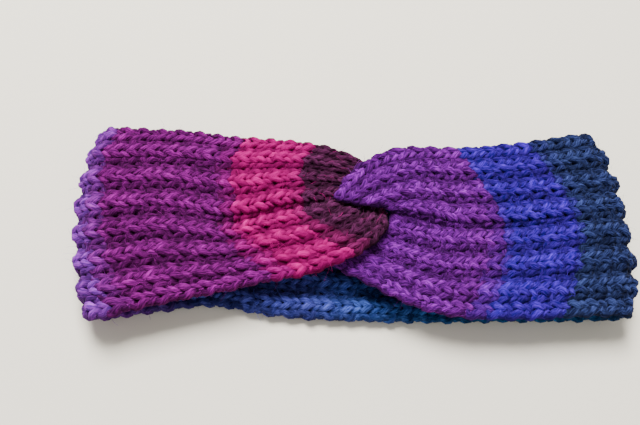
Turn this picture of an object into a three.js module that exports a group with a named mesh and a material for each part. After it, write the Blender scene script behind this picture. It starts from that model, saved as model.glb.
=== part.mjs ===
// Ear warmer headband: one strip of chunky 2x2 rib knitting, lying flat, its ends crossed in a twist.
// Millimetres. X runs along the band, Y across it, Z up from the table.
import * as THREE from 'three';

const bandLength = 250.8;      // lying flat, from fold to fold
const bandWidth = 90;
const wall = 7.4;              // knitted wall over the rib crests
const hollow = 5.6;            // between the front and back layers
const ribCount = 7;            // six whole ribs and a half rib at each selvedge
const ribRelief = 1.9;         // depth of the groove between two ribs
const endBow = 8;              // how far the folds round off towards the selvedges
const knotWall = 5.8;          // the wall where the twist squeezes it
const endWall = 4.4;           // the wall at the strip's sewn ends
const layerGap = 0.5;          // between the crossed layers of the twist
const seamRadius = 1.7;
const seamClearance = 0.3;     // between the seam and the end row that it joins

const woolPlum = 0x7e2c85;
const threadPlum = 0x4a1c3c;

const halfLength = bandLength / 2;
const halfWidth = bandWidth / 2;
const backMid = wall / 2;
const foldRadius = (wall + hollow) / 2;
const frontMid = backMid + 2 * foldRadius;
const lowMid = wall + hollow + knotWall / 2;
const layerRise = knotWall + layerGap;
const foldLine = halfLength - wall / 2 - foldRadius;
const bowCentre = 0.1;         // where across the band the folds reach furthest out

// Selvedges: along is a share of half the length, top and bottom are shares of half the width.
const leftEdges = [
  { along: -0.86, top: 0.945, bottom: -1.0 },
  { along: -0.76, top: 0.94, bottom: -0.92 },
  { along: -0.62, top: 0.928, bottom: -0.827 },
  { along: -0.48, top: 0.88, bottom: -0.742 },
  { along: -0.36, top: 0.853, bottom: -0.667 },
  { along: -0.24, top: 0.827, bottom: -0.612 },
];
const rightEdges = [
  { along: 0.36, top: 0.79, bottom: -1.04 },
  { along: 0.48, top: 0.81, bottom: -1.049 },
  { along: 0.6, top: 0.853, bottom: -1.042 },
  { along: 0.73, top: 0.915, bottom: -1.03 },
  { along: 0.86, top: 0.98, bottom: -1.022 },
];
const backEdges = [
  { along: -0.86, top: 0.945, bottom: -0.93 },
  { along: -0.7, top: 0.93, bottom: -0.855 },
  { along: -0.53, top: 0.9, bottom: -0.805 },
  { along: -0.32, top: 0.833, bottom: -0.91 },
  { along: 0, top: 0.74, bottom: -0.97 },
  { along: 0.32, top: 0.8, bottom: -0.99 },
  { along: 0.6, top: 0.86, bottom: -0.99 },
  { along: 0.86, top: 0.98, bottom: -0.99 },
];

// The strip's two ends in the twist. Across runs from the lower to the upper selvedge; x and y are
// shares of half the width, and heading is in degrees. Crest and end are levels: 0 the lower layer
// of the twist, 1 the upper. A rib is at its crest level from the share up of its way to the share
// down, and then goes to its end level. The twist starts at x leftStart and rightStart.
const leftStart = -0.667;
const leftEnd = [
  { across: -1, x: 0.2, y: 0.1, heading: 105, crest: 1, end: 0, up: 0.34, down: 0.72 },
  { across: -0.5, x: 0, y: 0.133, heading: 62, crest: 0.95, end: 0, up: 0.45, down: 0.62 },
  { across: -0.12, x: -0.155, y: 0.155, heading: 30, crest: 0.4, end: 0, up: 0.6, down: 0.62 },
  { across: 0, x: -0.178, y: 0.2, heading: 12, crest: 0.12, end: 0, up: 0.6, down: 0.66 },
  { across: 0.12, x: -0.155, y: 0.255, heading: 0, crest: 0.05, end: 0, up: 0.6, down: 0.66 },
  { across: 0.5, x: -0.044, y: 0.378, heading: -22, crest: 0, end: 0, up: 0.6, down: 0.66 },
  { across: 1, x: 0.178, y: 0.511, heading: -40, crest: 0, end: 0, up: 0.6, down: 0.66 },
];
const rightStart = 1;
const rightEnd = [
  { across: -1, x: -0.4, y: -0.467, heading: 153, crest: 0, end: -0.15, up: 0.5, down: 0.7 },
  { across: -0.5, x: 0.067, y: -0.3, heading: 150, crest: 0, end: -0.15, up: 0.5, down: 0.7 },
  { across: -0.12, x: 0.267, y: -0.078, heading: 160, crest: 0.08, end: 0.05, up: 0.6, down: 0.8 },
  { across: 0, x: 0.28, y: 0.022, heading: 168, crest: 0.4, end: 0.4, up: 0.62, down: 0.8 },
  { across: 0.12, x: 0.233, y: 0.067, heading: 176, crest: 0.76, end: 0.72, up: 0.6, down: 0.8 },
  { across: 0.5, x: -0.033, y: 0.08, heading: 215, crest: 1, end: 1.02, up: 0.6, down: 0.8 },
  { across: 1, x: -0.311, y: 0.144, heading: 256, crest: 1, end: 1.02, up: 0.5, down: 0.8 },
];
const squeezedAt = 0.7;        // share of the way where the wall is down to the knot's
const fanSlack = 0.18;         // extra sweep of the outer ribs as they turn into the twist

// One rib across, in shares of the rib pitch, from the near side of a crest's flat land to the next.
const ribProfile = [
  { at: -0.14, rise: 1 },
  { at: 0.14, rise: 1 },
  { at: 0.36, rise: 0.75 },
  { at: 0.5, rise: 0 },
  { at: 0.64, rise: 0.75 },
];
const selvedgeInset = 0.14;    // share of the pitch where the rounded selvedge meets each face
const selvedgeClear = 0.05;    // share of the pitch kept free of other corners beside it

const fanRows = 15;
const wingRows = 7;
const foldRows = 7;
const backRows = 12;
const slopeStep = 0.01;        // share stepped to either side to read a slope

const seamFrom = -0.85;        // places across the strip where the seam starts and ends
const seamTo = -0.2;
const seamPoints = 9;
const seamRows = 14;
const seamCurve = 5;

// Smooth step from 0 to 1.
function ease(share) {
  const t = THREE.MathUtils.clamp(share, 0, 1);
  return t * t * (3 - 2 * t);
}

// A smooth curve through a table's rows that never overshoots them.
function follow(table, key, column, at) {
  const last = table.length - 1;
  const slopes = [];
  for (let i = 0; i < last; i += 1) {
    slopes.push((table[i + 1][column] - table[i][column]) / (table[i + 1][key] - table[i][key]));
  }
  const tangentAt = (i) => {
    if (i === 0) return slopes[0];
    if (i === last) return slopes[last - 1];
    const product = slopes[i - 1] * slopes[i];
    return product <= 0 ? 0 : (2 * product) / (slopes[i - 1] + slopes[i]);
  };
  let row = 0;
  while (row < last - 1 && at > table[row + 1][key]) row += 1;
  const span = table[row + 1][key] - table[row][key];
  const t = (at - table[row][key]) / span;
  if (t < 0) return table[0][column] + tangentAt(0) * (at - table[0][key]);
  if (t > 1) return table[last][column] + tangentAt(last) * (at - table[last][key]);
  const rise = table[row + 1][column] - table[row][column];
  const a = tangentAt(row) * span;
  const b = tangentAt(row + 1) * span;
  return table[row][column] + a * t + (3 * rise - 2 * a - b) * t * t + (a + b - 2 * rise) * t ** 3;
}

// Y of a rib line between the two selvedges.
function acrossEdges(edges, x, across) {
  const top = halfWidth * follow(edges, 'along', 'top', x / halfLength);
  const bottom = halfWidth * follow(edges, 'along', 'bottom', x / halfLength);
  return (top + bottom) / 2 + across * (top - bottom) / 2;
}

// X where a rib line turns into its fold.
function foldAt(across) {
  return foldLine - endBow * ((across - bowCentre) / (1 + bowCentre)) ** 2;
}

function wingPoint(side, edges, start, share, across) {
  const x = THREE.MathUtils.lerp(side * foldAt(across), start * halfWidth, share);
  return new THREE.Vector3(x, acrossEdges(edges, x, across), frontMid);
}

function foldPoint(side, edges, share, across) {
  const x = side * foldAt(across);
  const angle = Math.PI * share;
  const height = (1 + Math.cos(angle)) / 2;
  const front = acrossEdges(edges, x, across);
  const back = acrossEdges(backEdges, x, across);
  const y = THREE.MathUtils.lerp(back, front, height);
  return new THREE.Vector3(x + side * foldRadius * Math.sin(angle), y, backMid + 2 * foldRadius * height);
}

function backPoint(share, across) {
  const x = THREE.MathUtils.lerp(-foldAt(across), foldAt(across), share);
  return new THREE.Vector3(x, acrossEdges(backEdges, x, across), backMid);
}

// A rib line in the twist: it leaves the wing straight and turns to its heading at the end.
function fanPoint(side, edges, start, table, share, across) {
  const from = wingPoint(side, edges, start, 1, across);
  const before = wingPoint(side, edges, start, 1 - slopeStep, across);
  const leaving = from.clone().sub(before).normalize();
  const heading = THREE.MathUtils.degToRad(follow(table, 'across', 'heading', across));
  const to = new THREE.Vector3(
    halfWidth * follow(table, 'across', 'x', across),
    halfWidth * follow(table, 'across', 'y', across),
    frontMid,
  );
  const arriving = new THREE.Vector3(Math.cos(heading), Math.sin(heading), 0);
  const reach = from.distanceTo(to) * (1 + fanSlack * Math.abs(across)) / 3;
  const curve = new THREE.CubicBezierCurve3(
    from,
    from.clone().addScaledVector(leaving, reach),
    to.clone().addScaledVector(arriving, -reach),
    to,
  );
  const point = curve.getPoint(share);
  const crest = lowMid + layerRise * follow(table, 'across', 'crest', across);
  const end = lowMid + layerRise * follow(table, 'across', 'end', across);
  const up = follow(table, 'across', 'up', across);
  const down = follow(table, 'across', 'down', across);
  point.z += (crest - frontMid) * ease(share / up) + (end - crest) * ease((share - down) / (1 - down));
  return point;
}

// The strip's stretches from its left end, over the back, to its right end. Each has its rows, the
// middle of the wall at a share of the way, and the wall's thickness there.
const stretches = [
  {
    rows: fanRows,
    point: (share, across) => fanPoint(-1, leftEdges, leftStart, leftEnd, 1 - share, across),
    thick: (share) => fanWall(1 - share),
  },
  {
    rows: wingRows,
    point: (share, across) => wingPoint(-1, leftEdges, leftStart, 1 - share, across),
    thick: () => wall,
  },
  {
    rows: foldRows,
    point: (share, across) => foldPoint(-1, leftEdges, share, across),
    thick: () => wall,
  },
  { rows: backRows, point: backPoint, thick: () => wall },
  {
    rows: foldRows,
    point: (share, across) => foldPoint(1, rightEdges, 1 - share, across),
    thick: () => wall,
  },
  {
    rows: wingRows,
    point: (share, across) => wingPoint(1, rightEdges, rightStart, share, across),
    thick: () => wall,
  },
  {
    rows: fanRows,
    point: (share, across) => fanPoint(1, rightEdges, rightStart, rightEnd, share, across),
    thick: (share) => fanWall(share),
  },
];

function fanWall(share) {
  const squeezed = THREE.MathUtils.lerp(wall, knotWall, ease(share / squeezedAt));
  return THREE.MathUtils.lerp(squeezed, endWall, ease((share - squeezedAt) / (1 - squeezedAt)));
}

// Rib relief of one face at a place across, from 0 on a crest to 1 in a groove.
function grooveAt(pitches) {
  const land = ribProfile[0].at;
  const at = THREE.MathUtils.euclideanModulo(pitches - land, 1) + land;
  const row = Math.max(ribProfile.findLastIndex((point) => point.at <= at), 0);
  const next = ribProfile[row + 1] ?? { at: land + 1, rise: ribProfile[0].rise };
  const share = (at - ribProfile[row].at) / (next.at - ribProfile[row].at);
  return 1 - THREE.MathUtils.lerp(ribProfile[row].rise, next.rise, share);
}

// The places across one face where the rib profile has a corner. The outer face has a crest at each
// selvedge, and the inner face is half a pitch over, as the back of a rib is.
function facePlaces(shift) {
  const places = [selvedgeInset];
  for (let rib = -1; rib <= ribCount; rib += 1) {
    for (const point of ribProfile) {
      const at = rib + shift + point.at;
      const fromEdge = Math.min(at, ribCount - at);
      if (fromEdge > selvedgeInset + selvedgeClear) places.push(at);
    }
  }
  places.push(ribCount - selvedgeInset);
  return places;
}

// One row's loop: the outer face, the far selvedge, the inner face and the near selvedge.
function sectionLoop() {
  const loop = [{ across: -1, face: 0, groove: 0 }];
  for (const at of facePlaces(0)) {
    loop.push({ across: 2 * at / ribCount - 1, face: 1, groove: grooveAt(at) });
  }
  loop.push({ across: 1, face: 0, groove: 0 });
  for (const at of facePlaces(0.5).reverse()) {
    loop.push({ across: 2 * at / ribCount - 1, face: -1, groove: grooveAt(at - 0.5) });
  }
  return loop;
}

// Triangles that close a row's loop, zipped from the near selvedge to the far one, so that they
// follow a row that bends.
function endCap(loop) {
  const far = loop.findIndex((place) => place.across === 1);
  const triangles = [];
  let outer = 0;
  let inner = loop.length;
  while (outer < far || inner > far) {
    const here = inner % loop.length;
    const outerIsNext = inner === far || (outer < far && loop[outer + 1].across <= loop[inner - 1].across);
    const next = outerIsNext ? outer + 1 : inner - 1;
    if (here !== outer && next !== here && next !== outer) triangles.push([next, outer, here]);
    if (outerIsNext) outer += 1;
    else inner -= 1;
  }
  return triangles;
}

// Outward direction of the wall, square to its slopes along and across.
function outward(stretch, share, across) {
  const before = stretch.point(Math.max(share - slopeStep, 0), across);
  const after = stretch.point(Math.min(share + slopeStep, 1), across);
  const below = stretch.point(share, Math.max(across - slopeStep, -1));
  const above = stretch.point(share, Math.min(across + slopeStep, 1));
  return above.sub(below).cross(after.sub(before)).normalize();
}

function knitStripGeometry() {
  const loop = sectionLoop();
  const positions = [];
  let rowCount = 0;
  stretches.forEach((stretch, index) => {
    for (let row = index === 0 ? 0 : 1; row <= stretch.rows; row += 1) {
      const share = row / stretch.rows;
      const thick = stretch.thick(share);
      for (const place of loop) {
        const point = stretch.point(share, place.across);
        const relief = ribRelief * place.groove * thick / wall;
        const lift = place.face * (thick / 2 - relief);
        point.addScaledVector(outward(stretch, share, place.across), lift);
        positions.push(point.x, point.y, point.z);
      }
      rowCount += 1;
    }
  });
  const size = loop.length;
  const faces = [];
  for (let row = 0; row + 1 < rowCount; row += 1) {
    for (let i = 0; i < size; i += 1) {
      const next = (i + 1) % size;
      const a = row * size + i;
      const b = row * size + next;
      const c = a + size;
      const d = b + size;
      faces.push(a, b, d, a, d, c);
    }
  }
  const lastRow = (rowCount - 1) * size;
  for (const [a, b, c] of endCap(loop)) {
    faces.push(a, b, c);
    faces.push(lastRow + a, lastRow + c, lastRow + b);
  }
  const geometry = new THREE.BufferGeometry();
  geometry.setAttribute('position', new THREE.Float32BufferAttribute(positions, 3));
  geometry.setIndex(faces);
  geometry.computeVertexNormals();
  return geometry;
}

// The seam follows the end row of the strip's lower right tongue, a clearance ahead of it.
function twistSeamGeometry() {
  const end = stretches[stretches.length - 1];
  const points = [];
  for (let i = 0; i < seamPoints; i += 1) {
    const across = THREE.MathUtils.lerp(seamFrom, seamTo, i / (seamPoints - 1));
    const along = end.point(1, across + slopeStep).sub(end.point(1, across - slopeStep));
    const ahead = new THREE.Vector3(-along.y, along.x, 0).normalize();
    points.push(end.point(1, across).addScaledVector(ahead, seamRadius + seamClearance));
  }
  const section = new THREE.Shape();
  section.absarc(0, 0, seamRadius, 0, 2 * Math.PI);
  return new THREE.ExtrudeGeometry(section, {
    steps: seamRows,
    curveSegments: seamCurve,
    bevelEnabled: false,
    extrudePath: new THREE.CatmullRomCurve3(points),
  });
}

function woolMesh(name, geometry, colour) {
  const material = new THREE.MeshStandardMaterial({ color: colour, roughness: 0.95, metalness: 0 });
  const mesh = new THREE.Mesh(geometry, material);
  mesh.name = name;
  return mesh;
}

const headband = new THREE.Group();
headband.add(woolMesh('knit_strip', knitStripGeometry(), woolPlum));
headband.add(woolMesh('twist_seam', twistSeamGeometry(), threadPlum));

// The origin is the middle of the underside of the whole band.
const bounds = new THREE.Box3().setFromObject(headband);
const middle = bounds.getCenter(new THREE.Vector3());
headband.position.set(-middle.x, -middle.y, -bounds.min.z);

export default headband;
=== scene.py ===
# Ear warmer headband in chunky 2x2 rib, knitted stitch by stitch in colour-changing wool
import math

import bmesh
import bpy
import numpy as np
from mathutils import Matrix, Vector


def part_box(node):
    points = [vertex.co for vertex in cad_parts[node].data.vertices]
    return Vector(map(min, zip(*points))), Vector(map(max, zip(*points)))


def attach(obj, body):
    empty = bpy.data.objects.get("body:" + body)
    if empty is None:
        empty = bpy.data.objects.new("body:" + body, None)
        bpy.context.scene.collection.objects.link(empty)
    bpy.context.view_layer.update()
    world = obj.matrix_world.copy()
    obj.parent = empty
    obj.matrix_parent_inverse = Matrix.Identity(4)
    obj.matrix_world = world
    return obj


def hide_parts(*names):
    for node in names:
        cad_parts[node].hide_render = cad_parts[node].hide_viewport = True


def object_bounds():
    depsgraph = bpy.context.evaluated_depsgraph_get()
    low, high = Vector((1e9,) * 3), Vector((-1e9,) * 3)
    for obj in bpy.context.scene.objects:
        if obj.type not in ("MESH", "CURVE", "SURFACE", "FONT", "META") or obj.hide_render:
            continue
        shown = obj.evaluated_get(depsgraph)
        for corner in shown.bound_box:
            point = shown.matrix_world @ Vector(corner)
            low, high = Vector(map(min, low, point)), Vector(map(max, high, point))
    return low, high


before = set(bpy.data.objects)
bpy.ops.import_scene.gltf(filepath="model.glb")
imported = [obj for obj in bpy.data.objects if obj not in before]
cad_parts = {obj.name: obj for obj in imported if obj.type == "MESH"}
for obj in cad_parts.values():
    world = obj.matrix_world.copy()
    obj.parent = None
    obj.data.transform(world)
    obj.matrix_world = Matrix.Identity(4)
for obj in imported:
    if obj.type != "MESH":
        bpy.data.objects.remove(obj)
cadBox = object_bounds()
mm = 0.001
print("frame loaded", len(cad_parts), "nodes")


# the flat loop that the strip follows, millimetres, the same sizes as the solid, which has no lobes
band = {
    "length": 250.8,
    "width": 90.0,
    "wall": 7.4,
    "hollow": 5.6,           # between the front and back layers
    "ribs": 7,
    "endBow": 8.0,           # how far the folds round off towards the selvedges
    "bowCentre": 0.1,        # where across the strip the folds reach furthest out
    "leftLobe": 0.3,         # how far a rib's crest stands out round each fold, and its groove in
    "rightLobe": 0.8,
    "knotWall": 5.8,         # the wall where the twist squeezes it
    "endWall": 4.4,          # the wall at the strip's sewn ends
    "layerGap": 0.5,         # between the crossed layers of the twist
    "squeezedAt": 0.7,       # share of the way where the wall is down to the knot's
    "fanSlack": 0.18,        # extra sweep of the outer ribs as they turn into the twist
    "leftStart": -0.667,     # where the twist starts, in shares of half the width
    "rightStart": 1.0,
}
halfLength = band["length"] / 2
halfWidth = band["width"] / 2
backMid = band["wall"] / 2
foldRadius = (band["wall"] + band["hollow"]) / 2
frontMid = backMid + 2 * foldRadius
lowMid = band["wall"] + band["hollow"] + band["knotWall"] / 2
layerRise = band["knotWall"] + band["layerGap"]
foldLine = halfLength - band["wall"] / 2 - foldRadius
ribPitch = band["width"] / band["ribs"]


def table(columns, *rows):
    return {name: np.array([row[i] for row in rows], float) for i, name in enumerate(columns.split())}


# selvedges: along in shares of half the length, top and bottom in shares of half the width
edgeColumns = "along top bottom"
leftEdges = table(
    edgeColumns,
    (-0.86, 0.945, -1.0),
    (-0.76, 0.94, -0.92),
    (-0.62, 0.928, -0.827),
    (-0.48, 0.88, -0.742),
    (-0.36, 0.853, -0.667),
    (-0.24, 0.827, -0.612),
)
rightEdges = table(
    edgeColumns,
    (0.36, 0.79, -1.04),
    (0.48, 0.81, -1.049),
    (0.6, 0.853, -1.042),
    (0.73, 0.915, -1.03),
    (0.86, 0.98, -1.022),
)
backEdges = table(
    edgeColumns,
    (-0.86, 0.945, -0.93),
    (-0.7, 0.93, -0.855),
    (-0.53, 0.9, -0.805),
    (-0.32, 0.833, -0.91),
    (0, 0.74, -0.97),
    (0.32, 0.8, -0.99),
    (0.6, 0.86, -0.99),
    (0.86, 0.98, -0.99),
)
# the two ends in the twist, from the lower selvedge to the upper; crest and end are levels
# the right end's last rib turns 10 degrees less than the solid's, which lowers the shoulder by the notch
twistColumns = "across x y heading crest end up down"
leftEnd = table(
    twistColumns,
    (-1, 0.2, 0.1, 105, 1, 0, 0.34, 0.72),
    (-0.5, 0, 0.133, 62, 0.95, 0, 0.45, 0.62),
    (-0.12, -0.155, 0.155, 30, 0.4, 0, 0.6, 0.62),
    (0, -0.178, 0.2, 12, 0.12, 0, 0.6, 0.66),
    (0.12, -0.155, 0.255, 0, 0.05, 0, 0.6, 0.66),
    (0.5, -0.044, 0.378, -22, 0, 0, 0.6, 0.66),
    (1, 0.178, 0.511, -40, 0, 0, 0.6, 0.66),
)
rightEnd = table(
    twistColumns,
    (-1, -0.4, -0.467, 153, 0, -0.15, 0.5, 0.7),
    (-0.5, 0.067, -0.3, 150, 0, -0.15, 0.5, 0.7),
    (-0.12, 0.267, -0.078, 160, 0.08, 0.05, 0.6, 0.8),
    (0, 0.28, 0.022, 168, 0.4, 0.4, 0.62, 0.8),
    (0.12, 0.233, 0.067, 176, 0.76, 0.72, 0.6, 0.8),
    (0.5, -0.033, 0.08, 215, 1, 1.02, 0.6, 0.8),
    (1, -0.311, 0.144, 246, 1, 1.02, 0.5, 0.8),
)
slopeStep = 0.01      # share stepped back to read a slope


def ease(share):
    t = np.clip(share, 0, 1)
    return t * t * (3 - 2 * t)


def follow(rows, key, column, at):
    # a smooth curve through a table's rows that never overshoots them
    x, y = rows[key], rows[column]
    slope = np.diff(y) / np.diff(x)
    product = slope[:-1] * slope[1:]
    total = np.where(product > 0, slope[:-1] + slope[1:], 1.0)
    tangent = np.concatenate([slope[:1], np.where(product > 0, 2 * product / total, 0.0), slope[-1:]])
    at = np.asarray(at, float)
    i = np.clip(np.searchsorted(x, at) - 1, 0, len(x) - 2)
    span = x[i + 1] - x[i]
    t = (at - x[i]) / span
    rise, a, b = y[i + 1] - y[i], tangent[i] * span, tangent[i + 1] * span
    inside = y[i] + a * t + (3 * rise - 2 * a - b) * t**2 + (a + b - 2 * rise) * t**3
    inside = np.where(t < 0, y[0] + tangent[0] * (at - x[0]), inside)
    return np.where(t > 1, y[-1] + tangent[-1] * (at - x[-1]), inside)


def acrossEdges(edges, x, across):
    top = halfWidth * follow(edges, "along", "top", x / halfLength)
    bottom = halfWidth * follow(edges, "along", "bottom", x / halfLength)
    return (top + bottom) / 2 + across * (top - bottom) / 2


def foldAt(across):
    return foldLine - band["endBow"] * ((across - band["bowCentre"]) / (1 + band["bowCentre"])) ** 2


def wingPoint(side, edges, start, share, across):
    x = side * foldAt(across) * (1 - share) + start * halfWidth * share
    return np.stack([x, acrossEdges(edges, x, across), np.full_like(x, frontMid)], -1)


def foldPoint(side, edges, share, across):
    x = side * foldAt(across)
    height = (1 + np.cos(np.pi * share)) / 2
    y = acrossEdges(backEdges, x, across) * (1 - height) + acrossEdges(edges, x, across) * height
    lobe = band["leftLobe"] if side < 0 else band["rightLobe"]
    reach = foldRadius + lobe * np.cos(np.pi * (across + 1) * band["ribs"])
    return np.stack([x + side * reach * np.sin(np.pi * share), y, backMid + 2 * foldRadius * height], -1)


def backPoint(share, across):
    x = foldAt(across) * (2 * share - 1)
    return np.stack([x, acrossEdges(backEdges, x, across), np.full_like(x, backMid)], -1)


def fanPoint(side, edges, start, rows, share, across):
    # a rib leaves the wing straight and turns to its heading at the strip's end
    one = np.ones_like(share)
    p0 = wingPoint(side, edges, start, one, across)
    leaving = p0 - wingPoint(side, edges, start, (1 - slopeStep) * one, across)
    leaving /= np.linalg.norm(leaving, axis=-1, keepdims=True)
    heading = np.radians(follow(rows, "across", "heading", across))
    ends = [halfWidth * follow(rows, "across", c, across) for c in ("x", "y")]
    p3 = np.stack([ends[0], ends[1], frontMid * one], -1)
    arriving = np.stack([np.cos(heading), np.sin(heading), 0 * one], -1)
    reach = np.linalg.norm(p3 - p0, axis=-1) * (1 + band["fanSlack"] * np.abs(across)) / 3
    p1 = p0 + leaving * reach[..., None]
    p2 = p3 - arriving * reach[..., None]
    t = share[..., None]
    point = (1 - t) ** 3 * p0 + 3 * t * (1 - t) ** 2 * p1 + 3 * t**2 * (1 - t) * p2 + t**3 * p3
    crest, end = (lowMid + layerRise * follow(rows, "across", c, across) for c in ("crest", "end"))
    up, down = (follow(rows, "across", c, across) for c in ("up", "down"))
    point[..., 2] += (crest - frontMid) * ease(share / up) + (end - crest) * ease((share - down) / (1 - down))
    return point


def fanWall(share):
    at = band["squeezedAt"]
    squeezed = band["wall"] + (band["knotWall"] - band["wall"]) * ease(share / at)
    return squeezed + (band["endWall"] - squeezed) * ease((share - at) / (1 - at))


def plainWall(share):
    return np.full_like(share, band["wall"])


# the strip's stretches from its left end, over the back, to its right end, with their rows of knitting
stretches = [
    {
        "rows": 11,
        "point": lambda s, a: fanPoint(-1, leftEdges, band["leftStart"], leftEnd, 1 - s, a),
        "wall": lambda s: fanWall(1 - s),
    },
    {
        "rows": 18,
        "point": lambda s, a: wingPoint(-1, leftEdges, band["leftStart"], 1 - s, a),
        "wall": plainWall,
    },
    {"rows": 6, "point": lambda s, a: foldPoint(-1, leftEdges, s, a), "wall": plainWall},
    {"rows": 51, "point": backPoint, "wall": plainWall},
    {"rows": 6, "point": lambda s, a: foldPoint(1, rightEdges, 1 - s, a), "wall": plainWall},
    {
        "rows": 15,
        "point": lambda s, a: wingPoint(1, rightEdges, band["rightStart"], s, a),
        "wall": plainWall,
    },
    {
        "rows": 14,
        "point": lambda s, a: fanPoint(1, rightEdges, band["rightStart"], rightEnd, s, a),
        "wall": fanWall,
    },
]
leftFold, backStretch = 2, 3     # their places among the stretches
rowCount = sum(stretch["rows"] for stretch in stretches)
# 0 spreads the rows evenly in each stretch, 1 evenly over each rib's own half of the strip
rowDrift = table(
    "row drift",
    (0, 0.85),
    (13, 0.85),
    (30, 0.3),
    (60, 0.3),
    (90, 0.5),
)
# the upper ribs of the left end are knitted looser up to a row, held there, and even again by the last
rowPull = {"rows": 1.7, "full": 6, "hold": 22, "last": 40, "across": 0.15, "width": 0.5}
# the folds where the ribs part on their way into the twist, in mm of depth and rows from start to end
creases = table(
    "across width depth start end fade",
    (0.0, 0.07, 2.8, 4, 15, 3),
    (0.0, 0.07, 2.2, 101, 112, 4),
)
# the left ribs sink towards the lower selvedge and rise again into the twist, in mm
sway = {"along": -60.0, "reach": 20.0, "depth": 6.5, "across": -0.05, "width": 0.6}
stepsPerRow = 6
samples = 121         # along each stretch, before the rows are spread
acrossSamples = 107
overhang = 1.06       # the map runs on past both selvedges, where the yarn bulges over them
acrossGrid = np.linspace(-overhang, overhang, acrossSamples)


def stripGrid():
    # the wall's middle on a fine grid of rows and places across; the short middle ribs pull their rows back
    fine = np.linspace(0, 1, samples)
    s, a = np.meshgrid(fine, acrossGrid, indexing="ij")
    dense = np.concatenate([stretch["point"](s, a) for stretch in stretches])
    wall = np.concatenate([stretch["wall"](fine) for stretch in stretches])
    joints = [samples * i for i in range(len(stretches))] + [len(dense) - 1]
    rowsAtJoints = np.cumsum([0] + [stretch["rows"] for stretch in stretches])
    middle = samples * backStretch + samples // 2
    middleRow = rowsAtJoints[backStretch] + stretches[backStretch]["rows"] / 2
    wanted = np.linspace(0, rowCount, rowCount * stepsPerRow + 1)
    points = np.empty((len(wanted), len(acrossGrid), 3))
    walls = np.empty((len(wanted), len(acrossGrid)))
    for k in range(len(acrossGrid)):
        steps = np.linalg.norm(np.diff(dense[:, k], axis=0), axis=1)
        length = np.concatenate([[0], np.cumsum(steps)])
        byStretch = np.interp(length, length[joints], rowsAtJoints)
        byHalf = np.interp(length, [0, length[middle], length[-1]], [0, middleRow, rowCount])
        drift = np.interp(byStretch, rowDrift["row"], rowDrift["drift"])
        row = (1 - drift) * byStretch + drift * byHalf
        pull = rowPull["rows"] * ease((acrossGrid[k] - rowPull["across"]) / rowPull["width"])
        easing = ease((rowPull["last"] - row) / (rowPull["last"] - rowPull["hold"]))
        row = row - pull * ease(row / rowPull["full"]) * easing
        at = np.interp(wanted, row, np.arange(len(row)))
        walls[:, k] = np.interp(at, np.arange(len(row)), wall)
        for c in range(3):
            points[:, k, c] = np.interp(at, np.arange(len(row)), dense[:, k, c])
    for across, width, depth, start, end, fade in zip(*creases.values()):
        atRow = ease((wanted - start) / fade + 1) * ease((end - wanted) / fade + 1)
        points[..., 2] -= depth * np.outer(atRow, np.exp(-((acrossGrid - across) / width) ** 2))
    front = wanted < rowsAtJoints[leftFold]
    atPlace = np.exp(-((acrossGrid - sway["across"]) / sway["width"]) ** 2)
    atLength = np.exp(-((points[front, :, 0] - sway["along"]) / sway["reach"]) ** 2)
    points[front, :, 1] -= sway["depth"] * atLength * atPlace
    alongWay = np.gradient(points, axis=0)
    acrossWay = np.gradient(points, axis=1)
    outward = np.cross(acrossWay, alongWay)
    outward /= np.linalg.norm(outward, axis=-1, keepdims=True)
    pitch = np.linalg.norm(acrossWay, axis=-1) / (acrossGrid[1] - acrossGrid[0]) * 2 / band["ribs"]
    return points, outward, walls, pitch


gridPoints, gridOutward, gridWalls, gridPitch = stripGrid()
# the frame's origin is under the middle of the band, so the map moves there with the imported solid
nodeLow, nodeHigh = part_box("knit_strip")
inside = gridPoints[:, np.abs(acrossGrid) <= 1, 1]
centreShift = (nodeLow.y + nodeHigh.y) / 2 / mm - (inside.min() + inside.max()) / 2
print("strip map", gridPoints.shape[:2], "rows", rowCount, "moved", round(centreShift, 3), "mm")


def onStrip(row, across, lift):
    # millimetres in the frame: row counts from the left end, lift is a share of half the wall
    inLastCell = 1.001
    cell = acrossGrid[1] - acrossGrid[0]
    r = np.clip(row * stepsPerRow, 0, len(gridPoints) - inLastCell)
    c = np.clip((across - acrossGrid[0]) / cell, 0, len(acrossGrid) - inLastCell)
    i, j = r.astype(int), c.astype(int)
    u, v = r - i, c - j

    def mix(grid):
        a, b = (u, v) if grid.ndim == 2 else (u[:, None], v[:, None])
        low = grid[i, j] * (1 - b) + grid[i, j + 1] * b
        high = grid[i + 1, j] * (1 - b) + grid[i + 1, j + 1] * b
        return low * (1 - a) + high * a

    point = mix(gridPoints) + mix(gridOutward) * (lift * mix(gridWalls) / 2)[:, None]
    point[:, 1] += centreShift
    return point, mix(gridPitch)


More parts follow.
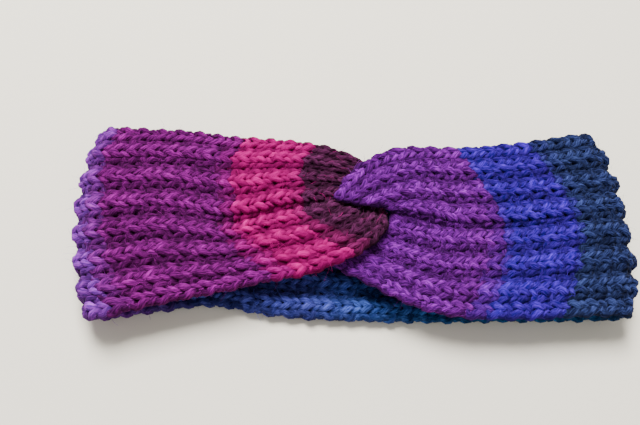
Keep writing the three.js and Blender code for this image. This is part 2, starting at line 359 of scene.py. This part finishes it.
# one stitch in chunky wool: two plump slanted legs in front, its head and its links behind
stitch = {
    "width": 6.1,            # mm across one column of stitches
    "points": 14,
    "lean": 0.30,            # how far the legs slant, as a share of the width
    "reach": 0.75,           # rows that the head and the links lie above and below the middle
    "hook": 0.07,            # rows that the legs shorten where they show
    "crest": 0.35,           # the middle of the knitted depth, as a share of half the wall
    "depth": 0.32,
    "roundOff": 1.05,        # how far a rib's outer legs drop below its crest
    "hidingAndPaintedShade": 1.3,           # how soon the wool stops standing proud as it drops, and so how soon its painted shade deepens
    "selvedge": 3.4,         # mm from the strip's edge to the middle of its last column
    "selvedgeCrest": 1,      # mm that the last column's crest lies inside its middle
    "curl": 0.28,            # how far the last column sinks, as a share of half the wall
    "looseRows": 0.10,       # every second row is looser, as hand knitting in rows is
    "unevenWidth": 0.03,     # how much one stitch differs from the next, as shares of its size
    "unevenLength": 0.04,
    "unevenAcross": 0.16,    # how far it strays from its place, in mm across and in rows along
    "unevenAlong": 0.05,
    "unevenDepth": 0.03,
    "settle": 0.2,           # how far a point of the yarn is drawn to each of its neighbours
    "yarnRadius": 1.55,      # mm
    "slub": 0.09,            # how far the yarn is thicker here and thinner there
    "slubPoints": 5,
    "squeeze": 0.7,          # how far the yarn thins where the ribs are drawn together
    "thinnest": 0.55,
    "thickest": 1.05,
    "sides": 8,
    "plySwell": 0.10,
    "plyTurn": 28.0,         # mm of yarn for one turn of the ply
    "evenEnd": 4,            # points over which the ply's swelling fades before an end
    "seed": 11,
}


def stitchLoop():
    # x across in mm from the column's middle, y along in rows, z from 1 in front to -1 behind
    t = (np.arange(stitch["points"]) + 0.5) / stitch["points"] * 2 * np.pi
    x = stitch["width"] * (t / (2 * np.pi) - 0.5 + stitch["lean"] * np.sin(2 * t))
    y = -stitch["reach"] * np.cos(t) - stitch["hook"] * np.cos(3 * t)
    return x, y, -np.cos(2 * t)


def stitchColumns():
    # each column's middle and its rib's crest in mm, 1 for knit or -1 for purl, and how far it sinks
    half = stitch["width"] / 2
    first, last = stitch["selvedge"], band["width"] - stitch["selvedge"]
    inwards = stitch["selvedgeCrest"]
    found = [(first, first + inwards, 1, stitch["curl"])]
    for rib in range(band["ribs"]):
        purlCrest, knitCrest = (rib + 0.5) * ribPitch, (rib + 1) * ribPitch
        found += [(purlCrest + side, purlCrest, -1, 0) for side in (-half, half)]
        found += [(knitCrest + side, knitCrest, 1, 0) for side in (-half, half)]
    # the last rib's two knit columns would straddle the selvedge, so one column takes their place
    return found[:-2] + [(last, last - inwards, 1, stitch["curl"])]


def knitYarn(seed):
    # the whole strip's yarn in one run of points, turning back at each selvedge
    rng = np.random.default_rng(seed)
    loopX, loopY, loopZ = stitchLoop()
    columns = stitchColumns()
    parts = []
    for row in range(rowCount):
        stitches = []
        loose = stitch["looseRows"] * (1 if row % 2 == 0 else -1)
        for middle, crest, face, sink in columns:
            x = middle + loopX * (1 + loose + rng.normal(0, stitch["unevenWidth"]))
            x = x + rng.normal(0, stitch["unevenAcross"])
            y = row + 0.5 + loopY * (1 + loose + rng.normal(0, stitch["unevenLength"]))
            y = y + rng.normal(0, stitch["unevenAlong"])
            drop = stitch["roundOff"] * ((x - crest) / (ribPitch / 2)) ** 2
            lift = stitch["crest"] + stitch["depth"] * loopZ - drop * (1 + loopZ) / 2
            lift = face * (lift + loose * (1 + loopZ) / 2 + rng.normal(0, stitch["unevenDepth"])) - sink
            # painted shade and painted light: wool that drops between the stitches is painted darker, wool on
            # their tops lighter
            proudAndPaintedLight = (1 + loopZ) / 2 - stitch["hidingAndPaintedShade"] * drop
            shade, girth = np.full_like(x, rng.uniform()), np.full_like(x, 1 + loose)
            stitches.append([y, 2 * x / band["width"] - 1, lift, proudAndPaintedLight, shade, girth])
        parts.append(np.concatenate(stitches, axis=1)[:, :: 1 if row % 2 == 0 else -1])
    row, across, lift, proudAndPaintedLight, shade, girth = np.concatenate(parts, axis=1)
    point, pitch = onStrip(row, across, lift)
    settle, run = stitch["settle"], stitch["slubPoints"]
    point[1:-1] = settle * point[:-2] + (1 - 2 * settle) * point[1:-1] + settle * point[2:]
    slub = np.convolve(rng.normal(0, 1, len(row)), np.ones(run) / run, "same")
    squeezed = np.clip((pitch / ribPitch) ** stitch["squeeze"], stitch["thinnest"], stitch["thickest"])
    radius = girth * squeezed * (1 + stitch["slub"] * slub)
    # the lowest stitches rest on the surface and aren't pressed through it
    swollen = stitch["yarnRadius"] * (1 + stitch["plySwell"])
    point[:, 2] = np.maximum(point[:, 2], swollen * radius)
    steps = np.linalg.norm(np.diff(point, axis=0), axis=1)
    return {
        "point": point,
        "radius": radius,
        "length": np.concatenate([[0], np.cumsum(steps)]),
        "yarnAt": np.linspace(0, 1, len(row)),
        "proudAndPaintedLight": np.clip(proudAndPaintedLight, 0, 1),
        "shade": shade,
        "outward": onStrip(row, across, lift + np.sign(lift))[0] - onStrip(row, across, lift)[0],
    }


def tubeMesh(name, runs, radius, resolution):
    # round tubes with closed ends along runs of points, made by a bevelled curve
    curve = bpy.data.curves.new(name, "CURVE")
    curve.dimensions = "3D"
    curve.bevel_depth = radius * mm
    curve.bevel_resolution = resolution
    curve.use_fill_caps = True
    curve.twist_mode = "MINIMUM"
    for points, radii in runs:
        spline = curve.splines.new("POLY")
        spline.points.add(len(points) - 1)
        spline.points.foreach_set("co", np.column_stack([points * mm, np.ones(len(points))]).ravel())
        spline.points.foreach_set("radius", radii)
    carrier = bpy.data.objects.new(name + "Curve", curve)
    bpy.context.scene.collection.objects.link(carrier)
    bpy.context.view_layer.update()
    mesh = bpy.data.meshes.new_from_object(carrier.evaluated_get(bpy.context.evaluated_depsgraph_get()))
    bpy.data.objects.remove(carrier)
    bpy.data.curves.remove(curve)
    mesh.name = name
    return mesh


def addAttribute(mesh, name, values):
    values = np.asarray(values, np.float32)
    kind, key = ("FLOAT_VECTOR", "vector") if values.ndim == 2 else ("FLOAT", "value")
    mesh.attributes.new(name, kind, "POINT").data.foreach_set(key, values.ravel())


def finishMesh(mesh, name):
    # the caps' own corners are merged with the tube's, so that each tube is closed
    mergeWithin = 1e-7    # metres
    work = bmesh.new()
    work.from_mesh(mesh)
    bmesh.ops.remove_doubles(work, verts=work.verts, dist=mergeWithin)
    work.to_mesh(mesh)
    work.free()
    mesh.polygons.foreach_set("use_smooth", np.ones(len(mesh.polygons), bool))
    piece = bpy.data.objects.new(name, mesh)
    bpy.context.scene.collection.objects.link(piece)
    return piece


def yarnPiece(name, yarn, first, last):
    part = {key: values[first:last] for key, values in yarn.items()}
    sides, count = stitch["sides"], last - first
    # a bevelled curve has 4 sides, and 2 more for each step of its resolution
    resolution = sides // 2 - 2
    mesh = tubeMesh(name, [(part["point"], part["radius"])], stitch["yarnRadius"], resolution)
    # the curve gives its end cap's corners first, then its start cap's, then a ring for each point
    caps = np.repeat([count - 1, 0], sides)
    ring = np.concatenate([caps, np.repeat(np.arange(count), sides)])
    if len(ring) != len(mesh.vertices):
        raise ValueError("the yarn's tube doesn't have the rings that its points give")
    length = part["length"][ring]
    turn = 2 * np.pi * (np.arange(len(ring)) % sides / sides + length / stitch["plyTurn"])
    corner = np.empty(len(ring) * 3)
    mesh.vertices.foreach_get("co", corner)
    corner = corner.reshape(-1, 3)
    centre = part["point"][ring] * mm
    fromEnd = np.minimum(ring, count - 1 - ring)
    swell = stitch["plySwell"] * np.cos(2 * turn) * np.clip(fromEnd / stitch["evenEnd"], 0, 1)
    mesh.vertices.foreach_set("co", (centre + (corner - centre) * (1 + swell)[:, None]).ravel())
    thick = stitch["yarnRadius"]
    addAttribute(mesh, "fibre", np.column_stack([thick * np.cos(turn), thick * np.sin(turn), length]))
    for key in ("yarnAt", "shade", "proudAndPaintedLight"):
        addAttribute(mesh, key, part[key][ring])
    return finishMesh(mesh, name)


# the short fibres that stand out of the wool, drawn thicker and fewer than the real ones to show
fuzz = {
    "fibres": 5600,
    "length": (1.5, 5.5),    # mm
    "radius": 0.045,         # mm
    "tip": 0.4,              # a fibre's thickness at its tip, as a share
    "proudAndPaintedLight": 0.25,           # the least proud place that a fibre stands out from
    "root": 0.92,            # where a fibre leaves the yarn, as a share of its radius
    "lean": 0.9,             # how far round the yarn the roots lie
    "lift": 0.8,             # how far a fibre heads outward, along the yarn and sideways
    "along": 0.9,
    "aside": 0.5,
    "bend": 0.35,
    "droop": 0.25,           # how far its tip sinks back to the yarn
    "stray": 0.3,            # the share of pink fibres in the plum wool
    "strayReach": 0.06,      # how far along the yarn the pink wool is, and where the plum ends
    "points": 4,
    "corners": 4,            # round a fibre, as a bevelled curve without more resolution has
    "grainSpan": 100,        # mm of the wool's grain that the fibres take their places in
    "seed": 12,
}


def unit(vectors):
    return vectors / np.linalg.norm(vectors, axis=1, keepdims=True)


def looseFibres(yarn, seed):
    # short curved fibres that stand out of the wool's surface, most of them lying along it
    rng = np.random.default_rng(seed)
    count = fuzz["fibres"]
    places = np.flatnonzero(yarn["proudAndPaintedLight"][:-1] > fuzz["proudAndPaintedLight"])
    chosen = rng.choice(places, count)
    way = unit(yarn["point"][chosen + 1] - yarn["point"][chosen])
    out = unit(yarn["outward"][chosen])
    side = np.cross(way, out)
    spread = rng.normal(0, 1, (3, count, 1))
    start = unit(out + fuzz["lean"] * spread[0] * side)
    heading = unit(fuzz["lift"] * start + fuzz["along"] * spread[1] * way + fuzz["aside"] * spread[2] * side)
    bend = rng.normal(0, fuzz["bend"], (count, 3)) - fuzz["droop"] * start
    length = rng.uniform(*fuzz["length"], (count, 1))
    rootRadius = fuzz["root"] * stitch["yarnRadius"] * yarn["radius"][chosen]
    t = np.linspace(0, 1, fuzz["points"])[:, None, None]
    lines = yarn["point"][chosen] + start * rootRadius[:, None] + length * (heading * t + bend * t**2)
    lines[..., 2] = np.maximum(lines[..., 2], fuzz["radius"])
    thin = np.linspace(1, fuzz["tip"], fuzz["points"])
    runs = [(lines[:, i], thin) for i in range(count)]
    mesh = tubeMesh("looseFibres", runs, fuzz["radius"], 0)
    # both caps of each fibre come first, the last fibre's before the others', and then its rings
    caps = np.repeat(np.arange(count)[::-1], 2 * fuzz["corners"])
    fibre = np.concatenate([caps, np.repeat(np.arange(count), fuzz["points"] * fuzz["corners"])])
    if len(fibre) != len(mesh.vertices):
        raise ValueError("the loose fibres don't have the rings that their points give")
    dyeAt = yarn["yarnAt"][chosen]
    dyeAt[(rng.uniform(0, 1, count) < fuzz["stray"]) & (dyeAt < fuzz["strayReach"])] += fuzz["strayReach"]
    addAttribute(mesh, "yarnAt", dyeAt[fibre])
    addAttribute(mesh, "shade", rng.uniform(0, 1, count)[fibre])
    # painted light: every fibre takes the lightest level, as the stitches' tops do
    addAttribute(mesh, "proudAndPaintedLight", np.ones(len(fibre)))
    addAttribute(mesh, "fibre", rng.uniform(0, fuzz["grainSpan"], (count, 3))[fibre])
    return finishMesh(mesh, "looseFibres")


# the ground of the knitting, where the stitches' heads and the crossing yarns fill the wall
ground = {
    "thickness": 1.6,        # mm
    "rowHeight": 4.3,        # mm, a row of the strip as it was knitted, before it was folded
    "alongSteps": 150,
    "acrossSteps": 63,
    "wave": 0.26,            # how far it follows the ribs, as a share of half the wall
    "inset": 0.97,           # how much of the strip it fills, so that the yarn hides its edges
}


def knitGround():
    mesh = bpy.data.meshes.new("knitGround")
    sheet = bmesh.new()
    bmesh.ops.create_grid(sheet, x_segments=ground["alongSteps"], y_segments=ground["acrossSteps"], size=1)
    at = np.array([corner.co[:2] for corner in sheet.verts])
    row = rowCount / 2 * (1 + at[:, 0] * ground["inset"])
    across = at[:, 1] * ground["inset"]
    wave = np.cos(np.pi * (across + 1) * band["ribs"])
    point, _ = onStrip(row, across, ground["wave"] * wave)
    for corner, place in zip(sheet.verts, point * mm):
        corner.co = place
    sheet.to_mesh(mesh)
    sheet.free()
    # its yarns cross the strip, deep between the stitches
    addAttribute(mesh, "yarnAt", row / rowCount)
    addAttribute(mesh, "fibre", np.column_stack([row * ground["rowHeight"], 0 * row, across * halfWidth]))
    # painted shade: the ground takes the darkest stitch level and the deepest painted shade
    addAttribute(mesh, "shade", 0 * row)
    addAttribute(mesh, "proudAndPaintedLight", 0 * row)
    piece = finishMesh(mesh, "knitGround")
    wall = piece.modifiers.new("thickness", "SOLIDIFY")
    wall.thickness = ground["thickness"] * mm
    wall.offset = 0
    return piece


def linear(hexColour):
    parts = [int(hexColour[i:i + 2], 16) / 255 for i in (1, 3, 5)]
    return [p / 12.92 if p <= 0.04045 else ((p + 0.055) / 1.055) ** 2.4 for p in parts] + [1.0]


def addNode(tree, kind, settings=None, **inputs):
    # an input is given by its socket's name, or by an underscore and its number
    node = tree.nodes.new(kind)
    for key, value in (settings or {}).items():
        setattr(node, key, value)
    for key, value in inputs.items():
        socket = node.inputs[int(key[1:])] if key[0] == "_" else node.inputs[key.replace("_", " ")]
        if isinstance(value, bpy.types.NodeSocket):
            tree.links.new(value, socket)
        else:
            socket.default_value = value
    return node


# the dyes of the wool, each with its deep and its pale shade
dyes = {
    "plum": ("#280c20", "#602450"),
    "pink": ("#8c0058", "#b40074"),
    "magenta": ("#400440", "#881880"),
    "violet": ("#4c2074", "#943cb4"),
    "slate": ("#24286c", "#5054a8"),
    "denim": ("#0c3460", "#2c68a8"),
    "navy": ("#0c102c", "#384478"),
    "royal": ("#180468", "#4c28b0"),
    "purple": ("#380450", "#8420a0"),
}
# where along the yarn each dye begins and ends, from the strip's left end at the twist to its right end
dyePlaces = [
    ("plum", 0.0, 0.048),
    ("pink", 0.058, 0.108),
    ("magenta", 0.124, 0.23),
    ("violet", 0.242, 0.29),
    ("slate", 0.36, 0.45),
    ("denim", 0.58, 0.69),
    ("navy", 0.74, 0.8),
    ("royal", 0.812, 0.87),
    ("purple", 0.882, 1.0),
]
wool = {
    "roughness": 0.92,
    "specular": 0.04,
    "sheen": 0.02,
    "sheenRoughness": 0.4,
    "strandWidth": 0.5,      # mm, coarser than the real fibres, so that they show
    "strandLength": 2.6,     # mm
    "strandDetail": 4.0,     # finer fibres within a strand
    "strandGrain": 0.66,     # how strongly the finer fibres show
    "streak": (0.38, 0.66),  # the strands' noise where the deep shade ends and the pale one starts
    "cloudSize": 5.0,        # mm of yarn between darker and lighter stretches
    "cloudDetail": 1.0,
    "cloudNoise": (0.3, 0.7),
    "cloudLevel": (0.7, 1.3),
    "stitchLevel": (0.75, 1.25),   # the darkest stitch and the lightest
    "proudShare": (0.1, 0.9),
    "paintedLightLevel": (0.45, 1.1),     # painted shade deep between the stitches, and painted light on top of them
    "groundPaintedShade": 0.35,      # painted shade: the ground's colour is darkened, as it lies in the shade of the yarn
    "fibrePaintedLight": 1.6,        # painted light: single fibres are painted lighter, as they catch more light than the yarn
    "bumpDepth": 0.5,        # mm
}
# the sewing strand in the twist
seam = {"deep": "#12060e", "pale": "#4a1c3c", "grainDetail": 2.0}


def woolMaterial(name, paintedLightGain):
    # loosely plied wool dyed in long stretches: matte and deep, with pale strands that follow the ply, and
    # with painted shade between the stitches and painted light on their tops
    material = bpy.data.materials.new(name)
    material.use_nodes = True
    tree = material.node_tree
    shader = tree.nodes["Principled BSDF"]
    shader.inputs["Roughness"].default_value = wool["roughness"]
    shader.inputs["Specular IOR Level"].default_value = wool["specular"]
    shader.inputs["Sheen Weight"].default_value = wool["sheen"]
    shader.inputs["Sheen Roughness"].default_value = wool["sheenRoughness"]
    place, fibre, shade, proudAndPaintedLight = (
        addNode(tree, "ShaderNodeAttribute", {"attribute_name": key})
        for key in ("yarnAt", "fibre", "shade", "proudAndPaintedLight")
    )
    ends = [(at, dyes[dye]) for dye, *places in dyePlaces for at in places]
    ramps = []
    for depth in (0, 1):
        ramp = addNode(tree, "ShaderNodeValToRGB", _0=place.outputs["Fac"])
        stops = ramp.color_ramp.elements
        for i, (at, shades) in enumerate(ends):
            stop = stops[i] if i < 2 else stops.new(at)
            stop.position = at
            stop.color = linear(shades[depth])
        ramps.append(ramp)
    deep, pale = ramps
    across, along = 1 / wool["strandWidth"], 1 / wool["strandLength"]
    drawn = addNode(
        tree, "ShaderNodeMapping", Vector=fibre.outputs["Vector"], Scale=(across, across, along)
    )
    strand = addNode(
        tree, "ShaderNodeTexNoise", Vector=drawn.outputs[0],
        Scale=1.0, Detail=wool["strandDetail"], Roughness=wool["strandGrain"],
    )
    cloud = addNode(
        tree, "ShaderNodeTexNoise", Vector=fibre.outputs["Vector"],
        Scale=1 / wool["cloudSize"], Detail=wool["cloudDetail"],
    )
    streak = addNode(
        tree, "ShaderNodeMapRange", {"interpolation_type": "SMOOTHSTEP"},
        _0=strand.outputs[0], _1=wool["streak"][0], _2=wool["streak"][1],
    )
    colour = addNode(
        tree, "ShaderNodeMix", {"data_type": "RGBA"},
        _0=streak.outputs[0], _6=deep.outputs[0], _7=pale.outputs[0],
    )
    patch = addNode(
        tree, "ShaderNodeMapRange", _0=cloud.outputs[0],
        _1=wool["cloudNoise"][0], _2=wool["cloudNoise"][1],
        _3=wool["cloudLevel"][0], _4=wool["cloudLevel"][1],
    )
    # the material's painted light gain darkens or lightens all of its wool
    tone = addNode(
        tree, "ShaderNodeMapRange", _0=shade.outputs["Fac"],
        _3=wool["stitchLevel"][0] * paintedLightGain, _4=wool["stitchLevel"][1] * paintedLightGain,
    )
    # painted shade deep between the stitches and painted light on their tops, multiplied into the colour
    paintedLight = addNode(
        tree, "ShaderNodeMapRange", _0=proudAndPaintedLight.outputs["Fac"],
        _1=wool["proudShare"][0], _2=wool["proudShare"][1],
        _3=wool["paintedLightLevel"][0], _4=wool["paintedLightLevel"][1],
    )
    level = patch
    for factor in (tone, paintedLight):
        level = addNode(
            tree, "ShaderNodeMath", {"operation": "MULTIPLY"}, _0=level.outputs[0], _1=factor.outputs[0]
        )
    dyed = addNode(
        tree, "ShaderNodeVectorMath", {"operation": "SCALE"}, _0=colour.outputs[2], Scale=level.outputs[0]
    )
    tree.links.new(dyed.outputs[0], shader.inputs["Base Color"])
    bump = addNode(tree, "ShaderNodeBump", Height=strand.outputs[0], Distance=wool["bumpDepth"] * mm)
    tree.links.new(bump.outputs[0], shader.inputs["Normal"])
    return material


def plainWool(name):
    # the same wool, dyed one colour and packed tight: matte, with a fine grain and no strands
    material = bpy.data.materials.new(name)
    material.use_nodes = True
    tree = material.node_tree
    shader = tree.nodes["Principled BSDF"]
    shader.inputs["Roughness"].default_value = wool["roughness"]
    shader.inputs["Specular IOR Level"].default_value = wool["specular"]
    place = addNode(tree, "ShaderNodeTexCoord")
    grainScale = 1 / (wool["strandWidth"] * mm)
    grain = addNode(
        tree, "ShaderNodeTexNoise", Vector=place.outputs["Object"],
        Scale=grainScale, Detail=seam["grainDetail"],
    )
    ramp = addNode(tree, "ShaderNodeValToRGB", _0=grain.outputs[0])
    ramp.color_ramp.elements[0].color = linear(seam["deep"])
    ramp.color_ramp.elements[1].color = linear(seam["pale"])
    tree.links.new(ramp.outputs[0], shader.inputs["Base Color"])
    bump = addNode(tree, "ShaderNodeBump", Height=grain.outputs[0], Distance=wool["bumpDepth"] * mm)
    tree.links.new(bump.outputs[0], shader.inputs["Normal"])
    return material


gradientWool = woolMaterial("gradientWool", 1.0)
# the ground's wool, darkened as painted shade
groundWool = woolMaterial("groundWool", wool["groundPaintedShade"])
# the loose fibres' wool, lightened as painted light
fibreWool = woolMaterial("fibreWool", wool["fibrePaintedLight"])
seamWool = plainWool("seamWool")


def dress(piece, material):
    piece.data.materials.append(material)
    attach(piece, "root")
    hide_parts("knit_strip")
    return piece


yarn = knitYarn(stitch["seed"])
yarnNames = ["yarnLeftFront", "yarnLeftBack", "yarnMiddleBack", "yarnRightBack", "yarnRightFront"]
yarnCuts = np.linspace(0, len(yarn["length"]), len(yarnNames) + 1).astype(int)
for name, first, last in zip(yarnNames, yarnCuts[:-1], yarnCuts[1:]):
    piece = yarnPiece(name, yarn, first, min(last + 1, len(yarn["length"])))
    dress(piece, gradientWool)
    print(name, sum(len(face.vertices) - 2 for face in piece.data.polygons), "triangles")
print("yarn", round(yarn["length"][-1] / 1000, 1), "m")

fuzzPiece = dress(looseFibres(yarn, fuzz["seed"]), fibreWool)
print("loose fibres", fuzz["fibres"])

groundPiece = dress(knitGround(), groundWool)

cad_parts["twist_seam"].material_slots[0].material = seamWool
print("seam dressed")


# a plain pale floor, soft light from above and behind, and the photograph's camera
studio = {
    "floor": "#f8f0de",
    "floorSize": 3.0,        # metres from its middle to its side
    "floorRoughness": 0.9,
    "skyColour": "#ffffff",
    "sky": 0.42,
    "key": {"at": (-0.2, 0.6, 1.05), "size": 0.6, "power": 40},    # metres and watts
    "fill": {"at": (0.5, -0.6, 0.9), "size": 1.2, "power": 2},
}
view = {
    "lookAt": (-17.84, 9.59 + centreShift, 0.0),   # mm
    "distance": 303.5,       # mm
    "elevation": 63.7,       # degrees, as the heading and the roll
    "heading": 14.17,
    "roll": 13.17,
    "focalPixels": 650,      # in the photograph's frame
    "widthPixels": 640,
    "sensorWidth": 36,       # mm
    "clipStart": 0.01,       # metres
}


def makeStage():
    surface = bmesh.new()
    bmesh.ops.create_grid(surface, x_segments=1, y_segments=1, size=studio["floorSize"])
    bmesh.ops.translate(surface, verts=surface.verts, vec=(0, 0, cadBox[0].z))
    mesh = bpy.data.meshes.new("floor")
    surface.to_mesh(mesh)
    surface.free()
    floor = bpy.data.objects.new("floor", mesh)
    bpy.context.scene.collection.objects.link(floor)
    # painted board: matte and even, so that only the soft shadow shows on it
    material = bpy.data.materials.new("paintedBoard")
    material.use_nodes = True
    shader = material.node_tree.nodes["Principled BSDF"]
    shader.inputs["Base Color"].default_value = linear(studio["floor"])
    shader.inputs["Roughness"].default_value = studio["floorRoughness"]
    floor.data.materials.append(material)
    world = bpy.data.worlds.new("softSky")
    world.use_nodes = True
    world.node_tree.nodes["Background"].inputs[0].default_value = linear(studio["skyColour"])
    world.node_tree.nodes["Background"].inputs[1].default_value = studio["sky"]
    bpy.context.scene.world = world
    for name in ("key", "fill"):
        light = bpy.data.lights.new(name, "AREA")
        light.energy = studio[name]["power"]
        light.size = studio[name]["size"]
        lamp = bpy.data.objects.new(name, light)
        lamp.location = studio[name]["at"]
        lamp.rotation_euler = (-Vector(studio[name]["at"])).to_track_quat("-Z", "Y").to_euler()
        bpy.context.scene.collection.objects.link(lamp)


def makeCamera():
    tilt, heading, roll = (math.radians(view[key]) for key in ("elevation", "heading", "roll"))
    level = math.cos(tilt)
    forward = Vector((math.sin(heading) * level, math.cos(heading) * level, -math.sin(tilt)))
    right = forward.cross(Vector((0, 0, 1))).normalized()
    up = right.cross(forward)
    turnedRight = math.cos(roll) * right + math.sin(roll) * up
    turnedUp = -math.sin(roll) * right + math.cos(roll) * up
    camera = bpy.data.objects.new("camera", bpy.data.cameras.new("camera"))
    camera.data.sensor_width = view["sensorWidth"]
    camera.data.lens = view["sensorWidth"] * view["focalPixels"] / view["widthPixels"]
    camera.data.clip_start = view["clipStart"]
    axes = Matrix((turnedRight, turnedUp, -forward)).transposed().to_4x4()
    axes.translation = (Vector(view["lookAt"]) - forward * view["distance"]) * mm
    camera.matrix_world = axes
    bpy.context.scene.collection.objects.link(camera)
    bpy.context.scene.camera = camera


makeStage()
makeCamera()
print("stage and camera done")
